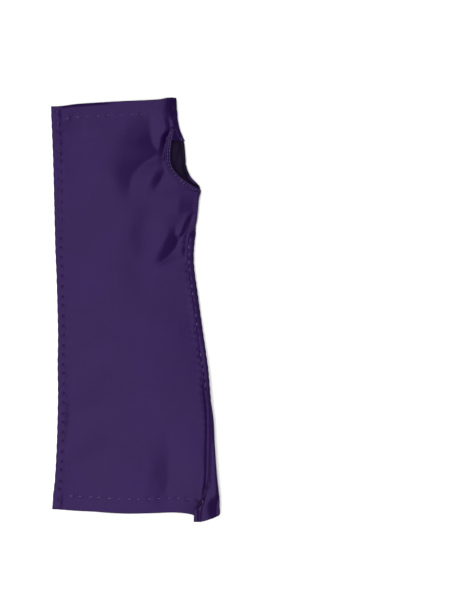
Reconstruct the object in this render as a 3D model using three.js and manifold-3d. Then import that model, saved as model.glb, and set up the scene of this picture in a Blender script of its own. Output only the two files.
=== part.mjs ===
// A long fingerless dress glove in satin, lying flat with the back of the hand up.
// Lengths are in millimetres: +X points to the thumb side, +Y to the fingers and +Z up.
// The origin is the middle of the glove in plan, on the surface that it lies on.

import * as THREE from "three";
import { mergeVertices } from "three/addons/utils/BufferGeometryUtils.js";
import Module from "manifold-3d";

const wasm = await Module();
wasm.setup();

// Cloth and seams
const CLOTH = 1.0; // thickness of one panel
const GAP = 0.3; // clearance between neighbouring pieces
const HEM_GAP = 0.5; // the same between a panel and its hem, along the cloth
const SPLIT = 0.68; // half the distance between the two panels along a seam
const HEM_FOLD = 0.8; // extra thickness of a turned-in hem, on its inner side
const HEM_TAPER = 0.12; // share of the width over which a hem thins out beside a seam
const FINGER_HEM_DEPTH = 10;
const CUFF_HEM_DEPTH = 11;
const FLANGE_THICKNESS = 1.5; // the pressed seam edge
const OUTER_FLANGE_WIDTH = 3.4;
const THUMB_FLANGE_WIDTH = 4.6;
const UPPER_FLANGE_WIDTH = 2.7;
const FLANGE_ROOT = 0.75; // from the seam line to the flange
const FLANGE_ROOT_LIFT = 0.9; // more of it where the flange stands up from the seam
const BAND_THICKNESS = 1.5; // binding of the thumb hole
const EDGE_FLAT = 0.4; // share of half the thickness left at a rounded edge
const SEAM_FACE = 92; // face angle in degrees at which the binding passes the thumb seam
const SEAM_STOPS = 2; // stops of the binding there, which cut neither panel
const PRISM_REACH = 80; // the cutting prism runs out past the glove, above and below it
const PRISM_HEIGHT = 80;

// Heights and the shape of the panels beside the seams
const OUTER_SEAM_HEIGHT = 2.7;
const SEAM_TOP = 4.9; // the back panel's height where it meets the thumb seam at the hole
const ARCH_POWER = 2.2; // the back panel's arch: a higher power is flatter along its crown
const FOLD_FADE = 7; // folds run out over this distance from a seam
const PALM_RISE_LENGTH = 13; // the palm panel comes down from the outer seam over this
const PALM_SIDE_LENGTH = 15; // and rolls up to the thumb seam over this
const PALM_RISE_SHARE = 0.15; // shares across the palm panel where these stretches end
const PALM_SIDE_SHARE = 0.6;

// How finely the panels are divided
const BACK_COLUMNS = 22;
const FOREARM_ROWS = 15;
const HAND_ROWS = 27;
const PALM_RISE_COLUMNS = 3;
const PALM_FLAT_COLUMNS = 6;
const PALM_SIDE_COLUMNS = 8;
const PALM_ROWS = 30;
const WRIST_SHARE = 0.56; // where the rows turn finer, as a share of the length
const RING_STEPS = 44;
const HEM_ROWS = 2;
const FLANGE_STEP = 9; // length of one step along a seam edge

// Little-finger side: the stitched line of the outer seam
const OUTER_SIDE = [
  { y: -172, x: -62.8 },
  { y: -135, x: -60.7 },
  { y: -106, x: -59.2 },
  { y: -68, x: -58.3 },
  { y: -20, x: -58.3 },
  { y: 28, x: -59.6 },
  { y: 71, x: -60.8 },
  { y: 119, x: -62.4 },
  { y: 172, x: -64.2 },
];

// Thumb side: the seam line in plan, its height, the tilt of its flange in degrees
// and how far the palm panel reaches past the line before it rolls back up to it
const THUMB_SIDE = [
  { y: -172, x: 50.4, z: 6.4, tilt: 142, reach: 16.8 },
  { y: -163, x: 51.2, z: 7.0, tilt: 130, reach: 15.7 },
  { y: -152, x: 53.6, z: 7.6, tilt: 104, reach: 13.0 },
  { y: -135, x: 55.6, z: 8.0, tilt: 62, reach: 9.4 },
  { y: -106, x: 56.2, z: 8.0, tilt: 52, reach: 6.6 },
  { y: -77, x: 55.8, z: 7.4, tilt: 50, reach: 5.2 },
  { y: -50, x: 52.8, z: 6.4, tilt: 48, reach: 4.8 },
  { y: -35, x: 50.7, z: 5.8, tilt: 42, reach: 2.6 },
  { y: -20, x: 48.8, z: 5.2, tilt: 30, reach: -1 },
  { y: 9, x: 44.8, z: 4.2, tilt: 4, reach: -4 },
  { y: 38, x: 41.2, z: 4.2, tilt: 0, reach: -4 },
  { y: 60, x: 42.4, z: 4.2, tilt: -8, reach: -4 },
  { y: 81, x: 46.2, z: 4.2, tilt: -36, reach: -4 },
  { y: 95, x: 48.6, z: 4.2, tilt: -36, reach: -4 },
  { y: 101, x: 46.8, z: 4.2, tilt: -36, reach: -4 },
  { y: 109, x: 41.2, z: 4.2, tilt: -36, reach: -4 },
  { y: 119, x: 39.0, z: 4.2, tilt: -36, reach: -4 },
  { y: 130, x: 38.0, z: 4.2, tilt: -36, reach: -4 },
  { y: 140, x: 33.3, z: 4.2, tilt: -38, reach: -4 },
  { y: 150, x: 31.2, z: 4.1, tilt: -38, reach: -4 },
  { y: 172, x: 29.6, z: 4.0, tilt: -38, reach: -4 },
];

// Highest line of the back panel
const CROWN = [
  { y: -172, z: 8.8 },
  { y: -120, z: 9.6 },
  { y: -40, z: 8.8 },
  { y: 30, z: 8.2 },
  { y: 80, z: 8.8 },
  { y: 130, z: 9.0 },
  { y: 172, z: 8.2 },
];

// Ends of the panels, as a share across each from the outer seam to the thumb seam
const FINGER_EDGE = [
  { across: 0, y: 161.8 },
  { across: 0.17, y: 164.2 },
  { across: 0.48, y: 166.6 },
  { across: 0.72, y: 167.4 },
  { across: 0.89, y: 168.4 },
  { across: 0.95, y: 169.8 },
  { across: 1, y: 167.4 },
];
const BACK_CUFF_EDGE = [
  { across: 0, y: -159 },
  { across: 0.12, y: -160.4 },
  { across: 0.36, y: -162 },
  { across: 0.8, y: -162.2 },
  { across: 0.95, y: -163.2 },
  { across: 1, y: -166.6 },
];
const PALM_CUFF_EDGE = [
  { across: 0, y: -159 },
  { across: 0.2, y: -160.6 },
  { across: 0.6, y: -162 },
  { across: 0.8, y: -163.2 },
  { across: 0.9, y: -166.4 },
  { across: 1, y: -169.8 },
];
const PALM_FINGER_LEAD = 1.0; // the palm panel peeks out past the back panel here

// Folds and dents of the back panel: centre, half length along, half width across,
// turn of the length from +X in degrees, and rise (a dent is negative)
const FOLDS = [
  { x: -2, y: 125.8, along: 30, across: 10, turn: 69, rise: -2.6 },
  { x: 8, y: 110.6, along: 14, across: 7, turn: 62, rise: 1.0 },
  { x: 18.5, y: 107, along: 13, across: 5, turn: 62, rise: -1.5 },
  { x: 19.2, y: 148, along: 19, across: 5, turn: 70, rise: 1.4 },
  { x: 20.5, y: 133, along: 9, across: 4, turn: 45, rise: -2.0 },
  { x: 35.5, y: 81, along: 9, across: 7, turn: 75, rise: -1.6 },
  { x: 33.5, y: 67, along: 9, across: 4, turn: 65, rise: -1.4 },
  { x: 23, y: 48.2, along: 15, across: 5.5, turn: 48, rise: -3.0 },
  { x: -5, y: 41, along: 34, across: 11, turn: 76, rise: -1.2 },
  { x: -46, y: 42, along: 20, across: 12, turn: 60, rise: 0.8 },
  { x: -38, y: -53, along: 16, across: 10, turn: 70, rise: -0.8 },
  { x: -34, y: -98, along: 28, across: 12, turn: 8, rise: -1.1 },
  { x: 18.5, y: -128, along: 20, across: 9, turn: 80, rise: -1.6 },
  { x: 38, y: -122, along: 22, across: 9, turn: 86, rise: 0.9 },
];

// Edge of the thumb hole, once round it: down the back panel, then up the palm panel.
// The face angle turns the binding from lying on top to lying underneath, and the drop
// takes its edge down from the height of the back panel at the thumb seam.
const THUMB_HOLE = [
  { y: 138.4, x: 36.6, drop: 0.6, face: 88, width: 3.0 },
  { y: 139.4, x: 35.0, drop: 0, face: 50, width: 3.6 },
  { y: 139.6, x: 31.6, drop: 0, face: 22, width: 3.6 },
  { y: 135.6, x: 28.8, drop: 0, face: 14, width: 3.6 },
  { y: 128.8, x: 27.6, drop: 0, face: 14, width: 3.6 },
  { y: 121, x: 27.2, drop: 0, face: 14, width: 3.6 },
  { y: 114, x: 29, drop: 0, face: 14, width: 3.6 },
  { y: 107.6, x: 33.4, drop: 0, face: 16, width: 3.6 },
  { y: 102.4, x: 39.4, drop: 0, face: 22, width: 3.6 },
  { y: 98.4, x: 45.4, drop: 0, face: 40, width: 3.6 },
  { y: 96.2, x: 49.6, drop: 0.7, face: 92, width: 3.0 },
  { y: 99.4, x: 48.8, drop: 1.7, face: 146, width: 2.2 },
  { y: 106, x: 43.8, drop: 1.8, face: 156, width: 2.2 },
  { y: 114, x: 40.8, drop: 1.8, face: 158, width: 2.2 },
  { y: 123, x: 39.8, drop: 1.8, face: 158, width: 2.2 },
  { y: 131, x: 38.8, drop: 1.8, face: 152, width: 2.2 },
  { y: 136, x: 37.4, drop: 1.5, face: 132, width: 2.2 },
];

const clamp = (value, low, high) => Math.min(Math.max(value, low), high);
const mix = (a, b, share) => a + (b - a) * share;
const radians = THREE.MathUtils.degToRad;

// A smooth curve through one column of a table, whose rows are sorted by the knot column
function through(rows, knot, column) {
  const slopes = rows.map((row, i) => {
    const before = rows[Math.max(i - 1, 0)];
    const after = rows[Math.min(i + 1, rows.length - 1)];
    return (after[column] - before[column]) / (after[knot] - before[knot]);
  });
  return (at) => {
    const place = clamp(at, rows[0][knot], rows.at(-1)[knot]);
    const after = rows.findIndex((row) => row[knot] > place);
    const i = after < 0 ? rows.length - 2 : after - 1;
    const a = rows[i];
    const b = rows[i + 1];
    const span = b[knot] - a[knot];
    const t = (place - a[knot]) / span;
    const ease = t * t * (3 - 2 * t);
    return (
      mix(a[column], b[column], ease) +
      slopes[i] * span * t * (1 - t) * (1 - t) -
      slopes[i + 1] * span * t * t * (1 - t)
    );
  };
}

const outerX = through(OUTER_SIDE, "y", "x");
const seamX = through(THUMB_SIDE, "y", "x");
const seamZ = through(THUMB_SIDE, "y", "z");
const flangeTilt = through(THUMB_SIDE, "y", "tilt");
const palmReach = through(THUMB_SIDE, "y", "reach");
const crown = through(CROWN, "y", "z");
const fingerEdge = through(FINGER_EDGE, "across", "y");
const backCuffEdge = through(BACK_CUFF_EDGE, "across", "y");
const palmCuffEdge = through(PALM_CUFF_EDGE, "across", "y");

// Where a panel ends beside the thumb seam: the back panel on the upper side of the line
// and the palm panel on the lower side, both turned with the flange
function seamSide(y, side) {
  const turn = radians(flangeTilt(y));
  return {
    x: seamX(y) - side * SPLIT * Math.sin(turn),
    z: seamZ(y) + side * SPLIT * Math.cos(turn),
  };
}

function foldRise(x, y) {
  return FOLDS.reduce((sum, fold) => {
    const turn = radians(fold.turn);
    const dx = x - fold.x;
    const dy = y - fold.y;
    const along = (dx * Math.cos(turn) + dy * Math.sin(turn)) / fold.along;
    const across = (dy * Math.cos(turn) - dx * Math.sin(turn)) / fold.across;
    return sum + fold.rise * Math.exp(-2 * (along * along + across * across));
  }, 0);
}

// The back panel's middle surface at a share across it and at a place along the glove
function backAt(across, y) {
  const start = { x: outerX(y), z: OUTER_SEAM_HEIGHT + SPLIT };
  const end = seamSide(y, 1);
  const x = mix(start.x, end.x, across);
  const side = across < 0.5 ? start : end;
  const inward = 1 - 2 * Math.min(across, 1 - across);
  const arch = mix(side.z, crown(y), 1 - Math.pow(inward, ARCH_POWER));
  const fade = clamp(Math.min(x - start.x, end.x - x) / FOLD_FADE, 0, 1);
  return new THREE.Vector3(x, y, arch + foldRise(x, y) * fade);
}

// The palm panel's middle surface: up at the outer seam, flat on the surface below,
// and round the thumb side back up to the seam
function palmAt(across, y) {
  const start = outerX(y);
  const end = seamSide(y, -1);
  const reach = end.x + palmReach(y);
  const flatEnd = reach - PALM_SIDE_LENGTH;
  const floor = CLOTH / 2;
  if (across < PALM_RISE_SHARE) {
    const left = 1 - across / PALM_RISE_SHARE;
    const rise = OUTER_SEAM_HEIGHT - SPLIT - floor;
    return new THREE.Vector3(start + (1 - left) * PALM_RISE_LENGTH, y, floor + rise * left * left);
  }
  if (across < PALM_SIDE_SHARE) {
    const share = (across - PALM_RISE_SHARE) / (PALM_SIDE_SHARE - PALM_RISE_SHARE);
    return new THREE.Vector3(mix(start + PALM_RISE_LENGTH, flatEnd, share), y, floor);
  }
  const t = (across - PALM_SIDE_SHARE) / (1 - PALM_SIDE_SHARE);
  const bulge = (8 * reach - flatEnd - end.x) / 6;
  const side = new THREE.CubicBezierCurve(
    new THREE.Vector2(flatEnd, floor),
    new THREE.Vector2(bulge, floor),
    new THREE.Vector2(bulge, end.z),
    new THREE.Vector2(end.x, end.z),
  ).getPoint(t);
  return new THREE.Vector3(side.x, y, side.y);
}

function steps(from, to, count) {
  return Array.from({ length: count + 1 }, (_, i) => mix(from, to, i / count));
}

// One closed body from equal sections. Each section goes along one face of the piece and
// back along the other. A ring joins its last section to its first.
function loft(sections, ring = false) {
  const size = sections[0].length;
  const positions = sections.flat().flatMap((point) => point.toArray());
  const index = [];
  const quad = (a, b, c, d) => index.push(a, b, c, a, c, d);
  const spans = ring ? sections.length : sections.length - 1;
  for (let row = 0; row < spans; row++) {
    const here = row * size;
    const next = ((row + 1) % sections.length) * size;
    for (let i = 0; i < size; i++) {
      const j = (i + 1) % size;
      quad(here + i, here + j, next + j, next + i);
    }
  }
  if (!ring) {
    const end = (sections.length - 1) * size;
    for (let i = 0; i < size / 2 - 1; i++) {
      const back = size - 1 - i;
      quad(i, back, back - 1, i + 1);
      quad(end + i, end + i + 1, end + back - 1, end + back);
    }
  }
  const geometry = new THREE.BufferGeometry();
  geometry.setAttribute("position", new THREE.Float32BufferAttribute(positions, 3));
  geometry.setIndex(index);
  return volume(geometry) < 0 ? turnedInsideOut(geometry) : geometry;
}

function volume(geometry) {
  const corners = [0, 1, 2].map(() => new THREE.Vector3());
  const index = geometry.index;
  let total = 0;
  for (let i = 0; i < index.count; i += 3) {
    corners.forEach((corner, k) => corner.fromBufferAttribute(geometry.attributes.position, index.getX(i + k)));
    total += corners[0].dot(corners[1].cross(corners[2])) / 6;
  }
  return total;
}

function turnedInsideOut(geometry) {
  const index = Array.from(geometry.index.array);
  for (let i = 0; i < index.length; i += 3) {
    [index[i], index[i + 1]] = [index[i + 1], index[i]];
  }
  geometry.setIndex(index);
  return geometry;
}

// A sheet of cloth on a surface: rows run along the glove, columns across it.
// The inner face may lie deeper, as it does where a hem is turned in.
function sheet(surface, rows, columns, innerExtra = () => 0) {
  const probe = 0.002; // share by which the surface is probed for its slope
  const sections = rows.map((row) => {
    const layers = columns.map((across) => {
      const low = Math.max(across - probe, 0);
      const high = Math.min(across + probe, 1);
      const middle = surface(across, row);
      const sideways = surface(high, row).sub(surface(low, row));
      const lengthways = surface(across, row + probe).sub(surface(across, row - probe));
      const normal = sideways.cross(lengthways).normalize();
      return {
        outer: middle.clone().addScaledVector(normal, CLOTH / 2),
        inner: middle.clone().addScaledVector(normal, -CLOTH / 2 - innerExtra(across)),
      };
    });
    return [...layers.map((layer) => layer.outer), ...layers.map((layer) => layer.inner).reverse()];
  });
  return loft(sections);
}

// Surfaces by share across and share along, from the cuff edge to the finger edge
const backSurface = (across, along) => backAt(across, mix(backCuffEdge(across), fingerEdge(across), along));
const palmLead = (across) => PALM_FINGER_LEAD * Math.sin(Math.PI * clamp(across / PALM_SIDE_SHARE, 0, 1));
const palmSurface = (across, along) => {
  const end = fingerEdge(across) + palmLead(across);
  return palmAt(across, mix(palmCuffEdge(across), end, along));
};
// The palm panel faces down, so its sheet is laid from the other side
const palmFromBelow = (across, along) => palmSurface(1 - across, along);

const LENGTH = fingerEdge(0.5) - backCuffEdge(0.5);
const CUFF_HEM_SHARE = CUFF_HEM_DEPTH / LENGTH;
const FINGER_HEM_SHARE = 1 - FINGER_HEM_DEPTH / LENGTH;
const HALF_GAP_SHARE = HEM_GAP / LENGTH / 2;

const backColumns = steps(0, 1, BACK_COLUMNS);
const palmColumns = [
  ...steps(0, PALM_RISE_SHARE, PALM_RISE_COLUMNS).slice(0, -1),
  ...steps(PALM_RISE_SHARE, PALM_SIDE_SHARE, PALM_FLAT_COLUMNS).slice(0, -1),
  ...steps(PALM_SIDE_SHARE, 1, PALM_SIDE_COLUMNS),
].map((across) => 1 - across).reverse();

const bodyRows = [
  ...steps(CUFF_HEM_SHARE + HALF_GAP_SHARE, WRIST_SHARE, FOREARM_ROWS).slice(0, -1),
  ...steps(WRIST_SHARE, FINGER_HEM_SHARE - HALF_GAP_SHARE, HAND_ROWS),
];
const palmRows = steps(CUFF_HEM_SHARE + HALF_GAP_SHARE, FINGER_HEM_SHARE - HALF_GAP_SHARE, PALM_ROWS);
const cuffHemRows = steps(0, CUFF_HEM_SHARE - HALF_GAP_SHARE, HEM_ROWS);
const fingerHemRows = steps(FINGER_HEM_SHARE + HALF_GAP_SHARE, 1, HEM_ROWS);
const hemExtra = (across) => HEM_FOLD * clamp(Math.min(across, 1 - across) / HEM_TAPER, 0, 1);

// A pressed seam edge: it leaves the seam at the tilt that the table gives
function flange(line, ys, width, direction) {
  return loft(ys.map((y) => {
    const { x, z, tilt } = line(y);
    const turn = radians(tilt);
    const out = new THREE.Vector3(direction * Math.cos(turn), 0, Math.sin(turn));
    const up = new THREE.Vector3(-direction * Math.sin(turn), 0, Math.cos(turn));
    const root = FLANGE_ROOT + FLANGE_ROOT_LIFT * Math.max(Math.sin(turn), 0);
    const half = FLANGE_THICKNESS / 2;
    const corner = (far, side) =>
      new THREE.Vector3(x, y, z).addScaledVector(out, far).addScaledVector(up, side * half);
    const tip = root + width;
    return [corner(root, 1), corner(tip - half, 1), corner(tip, EDGE_FLAT),
      corner(tip, -EDGE_FLAT), corner(tip - half, -1), corner(root, -1)];
  }));
}

const outerLine = (y) => ({ x: outerX(y), z: OUTER_SEAM_HEIGHT, tilt: 0 });
const thumbLine = (y) => ({ x: seamX(y), z: seamZ(y), tilt: flangeTilt(y) });

// The binding of the thumb hole: a band that starts at the hole's edge and lies on the panels
function thumbBand() {
  const points = THUMB_HOLE.map((row) => {
    const across = clamp((row.x - outerX(row.y)) / (seamSide(row.y, 1).x - outerX(row.y)), 0, 1);
    return new THREE.Vector3(row.x, row.y, row.drop ? SEAM_TOP - row.drop : backAt(across, row.y).z);
  });
  const edge = new THREE.CatmullRomCurve3(points, true);
  return steps(0, 1, RING_STEPS).slice(0, -1).map((share) => {
    const place = share * THUMB_HOLE.length;
    const here = THUMB_HOLE[Math.floor(place)];
    const next = THUMB_HOLE[(Math.floor(place) + 1) % THUMB_HOLE.length];
    const face = radians(mix(here.face, next.face, place % 1));
    const width = mix(here.width, next.width, place % 1);
    const tangent = edge.getTangent(share);
    const normal = new THREE.Vector3(Math.sin(face), 0, Math.cos(face));
    const away = new THREE.Vector3().crossVectors(tangent, normal).normalize();
    normal.crossVectors(away, tangent).normalize();
    return { edge: edge.getPoint(share), away, normal, face, width };
  });
}

function bandGeometry(stops) {
  const half = BAND_THICKNESS / 2;
  const sections = stops.map(({ edge, away, normal, width }) => {
    const corner = (far, side) => edge.clone().addScaledVector(away, far).addScaledVector(normal, side * half);
    return [corner(0, EDGE_FLAT), corner(half, 1), corner(width, 1),
      corner(width, -1), corner(half, -1), corner(0, -EDGE_FLAT)];
  });
  return loft(sections, true);
}

// An upright prism past the binding's far edge, which clears a panel's cut
function holePrism(stops, low, high) {
  const outline = stops.map(({ edge, away, normal, width }) => {
    const lean = Math.hypot(normal.x, normal.y) * BAND_THICKNESS / 2;
    const point = edge.clone().addScaledVector(away, width);
    return new THREE.Vector2(away.x, away.y).setLength(GAP + lean).add(new THREE.Vector2(point.x, point.y));
  });
  const downwards = stops[0].edge.y > stops.at(-1).edge.y;
  const [firstEnd, lastEnd] = downwards ? [high, low] : [low, high];
  const shape = new THREE.Shape([
    new THREE.Vector2(PRISM_REACH, firstEnd),
    new THREE.Vector2(outline[0].x, firstEnd),
    ...outline,
    new THREE.Vector2(outline.at(-1).x, lastEnd),
    new THREE.Vector2(PRISM_REACH, lastEnd),
  ]);
  const prism = new THREE.ExtrudeGeometry(shape, { depth: PRISM_HEIGHT, bevelEnabled: false });
  return prism.translate(0, 0, -PRISM_HEIGHT / 2);
}

function solid(geometry) {
  const bare = geometry.clone();
  bare.deleteAttribute("normal");
  bare.deleteAttribute("uv");
  const merged = mergeVertices(bare, 1e-4);
  return new wasm.Manifold(new wasm.Mesh({
    numProp: 3,
    vertProperties: new Float32Array(merged.attributes.position.array),
    triVerts: new Uint32Array(merged.index.array),
  }));
}

function cut(geometry, tool) {
  const mesh = solid(geometry).subtract(solid(tool)).getMesh();
  const result = new THREE.BufferGeometry();
  result.setAttribute("position", new THREE.Float32BufferAttribute(mesh.vertProperties, 3));
  result.setIndex(Array.from(mesh.triVerts));
  return result;
}

const satin = new THREE.MeshStandardMaterial({ color: 0x3a2958, roughness: 0.42, metalness: 0 });
const glove = new THREE.Group();

function piece(name, geometry) {
  const mesh = new THREE.Mesh(geometry, satin.clone());
  mesh.name = name;
  glove.add(mesh);
}

const band = thumbBand();
const farEnds = band.map(({ edge, away, width }) => edge.y + away.y * width);
const holeLow = Math.min(...farEnds) - GAP;
const holeHigh = Math.max(...farEnds) + GAP;
const turnUnder = band.findIndex((stop) => stop.face > radians(SEAM_FACE));
const onBack = band.slice(0, turnUnder);
const onPalm = band.slice(turnUnder + SEAM_STOPS);

const back = sheet(backSurface, bodyRows, backColumns);
piece("back_panel", cut(back, holePrism(onBack, holeLow, holeHigh)));
const palm = sheet(palmFromBelow, palmRows, palmColumns);
piece("palm_panel", cut(palm, holePrism(onPalm, holeLow, holeHigh)));
piece("thumb_binding", bandGeometry(band));

piece("back_cuff_hem", sheet(backSurface, cuffHemRows, backColumns, hemExtra));
piece("back_finger_hem", sheet(backSurface, fingerHemRows, backColumns, hemExtra));
piece("palm_cuff_hem", sheet(palmFromBelow, cuffHemRows, palmColumns, hemExtra));
piece("palm_finger_hem", sheet(palmFromBelow, fingerHemRows, palmColumns, hemExtra));

const flangeRows = (low, high) => steps(low, high, Math.round((high - low) / FLANGE_STEP));
piece("outer_seam", flange(outerLine, flangeRows(backCuffEdge(0), fingerEdge(0)), OUTER_FLANGE_WIDTH, -1));
piece("thumb_seam_lower", flange(thumbLine, flangeRows(palmCuffEdge(1), holeLow), THUMB_FLANGE_WIDTH, 1));
piece("thumb_seam_upper", flange(thumbLine, flangeRows(holeHigh, fingerEdge(1)), UPPER_FLANGE_WIDTH, 1));

export default glove;
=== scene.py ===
"""A long fingerless dress glove in violet satin, lying flat with the back of the hand up.

Lengths are worked out in millimetres, as in the CAD source, and turned to metres where a mesh is made.
+X points to the thumb side, +Y to the fingers and +Z up from the surface that the glove lies on.
"""

import math

import bpy
import numpy as np
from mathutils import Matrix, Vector


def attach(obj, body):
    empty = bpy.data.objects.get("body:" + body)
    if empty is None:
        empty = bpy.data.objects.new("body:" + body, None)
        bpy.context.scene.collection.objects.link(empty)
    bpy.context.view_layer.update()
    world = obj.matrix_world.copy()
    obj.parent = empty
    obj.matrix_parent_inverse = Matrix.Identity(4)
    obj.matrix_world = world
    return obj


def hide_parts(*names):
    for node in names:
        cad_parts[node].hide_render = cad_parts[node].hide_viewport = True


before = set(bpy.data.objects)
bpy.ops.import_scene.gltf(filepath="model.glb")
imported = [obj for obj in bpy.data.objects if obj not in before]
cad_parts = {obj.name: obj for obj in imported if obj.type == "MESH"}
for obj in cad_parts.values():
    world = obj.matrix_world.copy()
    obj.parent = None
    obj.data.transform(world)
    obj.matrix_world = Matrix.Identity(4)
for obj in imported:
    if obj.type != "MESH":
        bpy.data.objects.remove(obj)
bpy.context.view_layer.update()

MM = 0.001

# Cloth and seams
CLOTH = 0.4  # duchesse satin
SPLIT = 0.3  # the palm panel's distance below a seam line
SEAM_STEP = 0.5  # the back panel's distance above it, flush with the top of the seam edge
PALM_FLOOR = 0.48  # height of the palm panel where it lies on the surface
OUTER_SEAM_HEIGHT = 3.2
SEAM_TOP = 4.9  # the back panel's height where it meets the thumb seam at the hole
ARCH_POWER = 2.2  # the back panel's arch: a higher power is flatter along its crown
UPPER_ARCH_POWER = 11.0  # beside the upper thumb seam, where the cloth drops away
FOLD_FADE = 5.0  # folds run out over this distance from a seam
FOLD_TAPER = 0.6  # share of a hollow's width that is left at its ends
PALM_RISE_LENGTH = 13.0  # the palm panel comes down from the outer seam over this distance
PALM_SIDE_LENGTH = 15.0  # and turns up over this distance towards the thumb side
PALM_RISE_SHARE = 0.15  # shares across it where the one ends and the other begins
PALM_SIDE_SHARE = 0.6
PALM_WAVE_SHARE = 0.7  # on the surface its unevenness is this share of the back panel's
PALM_LEVEL = 0.82  # towards the cuff it has risen by this share of the way round to the seam
LATE_RISE = 1.8  # past the thumb hole's lower end the palm panel rises close to the seam
PALM_FINGER_LEAD = 0.3  # the palm panel reaches past the back panel at the finger end
FINGER_DROP = 1.1  # the back panel's folded edge dips at the finger end
ROLL_OFF = 0.7  # the back panel turns down into the thumb seam's groove towards the cuff
ROLL_OFF_REACH = 1.3
NOSE = 3.5  # the palm panel's top stays level for longer beside the lower thumb seam

PUCKER_INSET = 1.5  # the seams' puckers are highest this far from a panel's edge
PUCKER_REACH = 3.4
OUTER_PUCKER = 0.07
THUMB_PUCKER = 0.11
PALM_PUCKER = 0.15
PALM_PUCKER_REACH = 4.0
PALM_DENT = 0.4

HEM_RADIUS = 0.55  # bend at a hem's folded edge
FINGER_HEM_DEPTH = 11.6
CUFF_HEM_DEPTH = 12.2
HEM_STITCH_INSET = 0.8  # its stitches lie this far from the turned-in raw edge
HEM_STITCH_LENGTH = 2.6
HEM_PAD = 0.28  # a hem lifts the cloth over it
HEM_PUCKER = 0.07
HEM_PUCKER_REACH = 3.2
HEM_DENT = 0.34

FLANGE_HALF = 0.72  # half the thickness of a pressed seam edge
OUTER_FLANGE_WIDTH = 5.7  # from the stitch line to the edge
THUMB_FLANGE_WIDTH = 5.3
THUMB_FLANGE_LIFT = 0.9  # more of it where it stands up from the seam
TRIMMED_FLANGE_WIDTH = 2.8
TWISTED_FLANGE_WIDTH = 2.5  # towards the cuff, where it twists up
FOLDED_FLANGE_WIDTH = 5.0  # and at the cuff, where it lies folded over
TUCK = 0.8  # the panels' raw edges are this far inside the seam edge
TUCK_DROP = 0.25  # and this far in from its faces
LEDGE = 1.2  # the lower seam allowance shows by this much past the upper one
UPPER_FLANGE_WIDTH = 3.6
FLANGE_PUFF = 0.05  # seam edges are thicker between two stitches and thinner at each, by this much
FLANGE_DRAW = 0.6  # share of their thickness that a stitch draws in
GROOVE_DEPTH = 0.8  # and that the lower thumb seam's whole stitch line does, towards the cuff
BAND_HALF = 0.66  # half the thickness of the thumb hole's binding
BAND_LANES = (0.3, 0.64)  # its rows of stitching, as shares of its width
BAND_GROOVE = 0.22  # and how deep they are sunk
STITCH_OUT = 0.8  # seam stitches lie this far out from the panels' edges
STITCH_HEIGHT = 0.42  # and this far from the middle of the seam edge
STITCH_LENGTH = 3.0
STITCH_SINK = 0.16  # the outer seam's stitches are sunk by up to this much, unevenly
THUMB_STITCH_SINK = 0.45  # and the thumb seam's, so that fewer of them show
DEEP_SINK = 0.3  # and towards the cuff both are sunk by this much more, below these y
OUTER_DEEP_FROM = 72
THUMB_DEEP_FROM = -30
THUMB_STITCHES_END = -66  # below this y the thumb seam's stitches lie hidden in its groove
TAB_TOP = -150  # and below this one they show again, where the edge lies folded over
SEAM_THREAD, CUFF_THREAD, FINGER_THREAD, BAND_THREAD = 0.18, 0.2, 0.16, 0.1  # radius of the thread

# Little-finger side: y and x of the stitched line of the outer seam
OUTER_SIDE = (
    (-172, -62.2), (-150, -60.5), (-135, -58.9), (-106, -57.4), (-68, -56.5), (-44, -56.8),
    (-20, -56.5), (28, -57.7), (45, -58.5), (71, -59.2), (119, -60.4), (172, -62.6),
)

# Thumb side: y, x and height of the seam line, the tilt of its edge in degrees, and how
# far the palm panel reaches past the line before it rolls back up to it
THUMB_SIDE = (
    (-172, 51.0, 6.4, 182, 16.6), (-163, 51.4, 7.0, 180, 15.8), (-157, 52.4, 7.3, 166, 14.2),
    (-150, 54.4, 7.7, 108, 11.7), (-135, 56.6, 8.0, 38, 7.6), (-106, 57.4, 8.0, 30, 4.2),
    (-90, 57.5, 7.8, 27, 3.3), (-77, 57.0, 7.4, 24, 2.1), (-50, 53.3, 6.4, 14, 1.2),
    (-35, 50.9, 5.8, 0, 0.7), (-20, 48.8, 5.7, -9, -1), (9, 44.8, 5.3, -9, -4),
    (38, 41.2, 5.1, -9, -4), (59, 42.7, 4.6, -14, -4), (68, 47.2, 4.0, -60, -4),
    (81, 49.1, 4.3, -78, -4), (88, 49.7, 4.5, -78, -4), (95, 51.3, 4.5, -78, -4),
    (101, 49.0, 4.6, -50, -4), (109, 41.2, 4.2, -36, -4), (119, 39.0, 4.2, -36, -4),
    (130, 38.0, 4.2, -36, -4), (140, 33.4, 4.4, -32, -4), (150, 30.5, 4.5, -26, -4),
    (172, 29.1, 4.5, -26, -4),
)

# Highest line of the back panel: y and height
CROWN = ((-172, 8.4), (-120, 9.2), (-40, 7.6), (20, 6.7), (80, 7.5), (130, 8.4), (172, 7.4))

# Ends of the panels: share across from the outer seam to the thumb seam, and y
FINGER_EDGE = (
    (0, 161.8), (0.17, 163.7), (0.48, 165.2), (0.72, 166.2), (0.89, 167.1), (0.95, 168.3), (1, 168.7),
)
BACK_CUFF_EDGE = (
    (0, -159.6), (0.12, -160.4), (0.25, -160.9), (0.36, -161.8), (0.5, -162.4), (0.66, -162.0),
    (0.8, -161.5), (0.88, -162.0), (0.95, -163.6), (1, -167.0),
)
PALM_CUFF_EDGE = (
    (0, -159.6), (0.2, -160.4), (0.6, -161.6), (0.8, -162.5), (0.9, -165.2), (1, -169.3),
)

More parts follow.
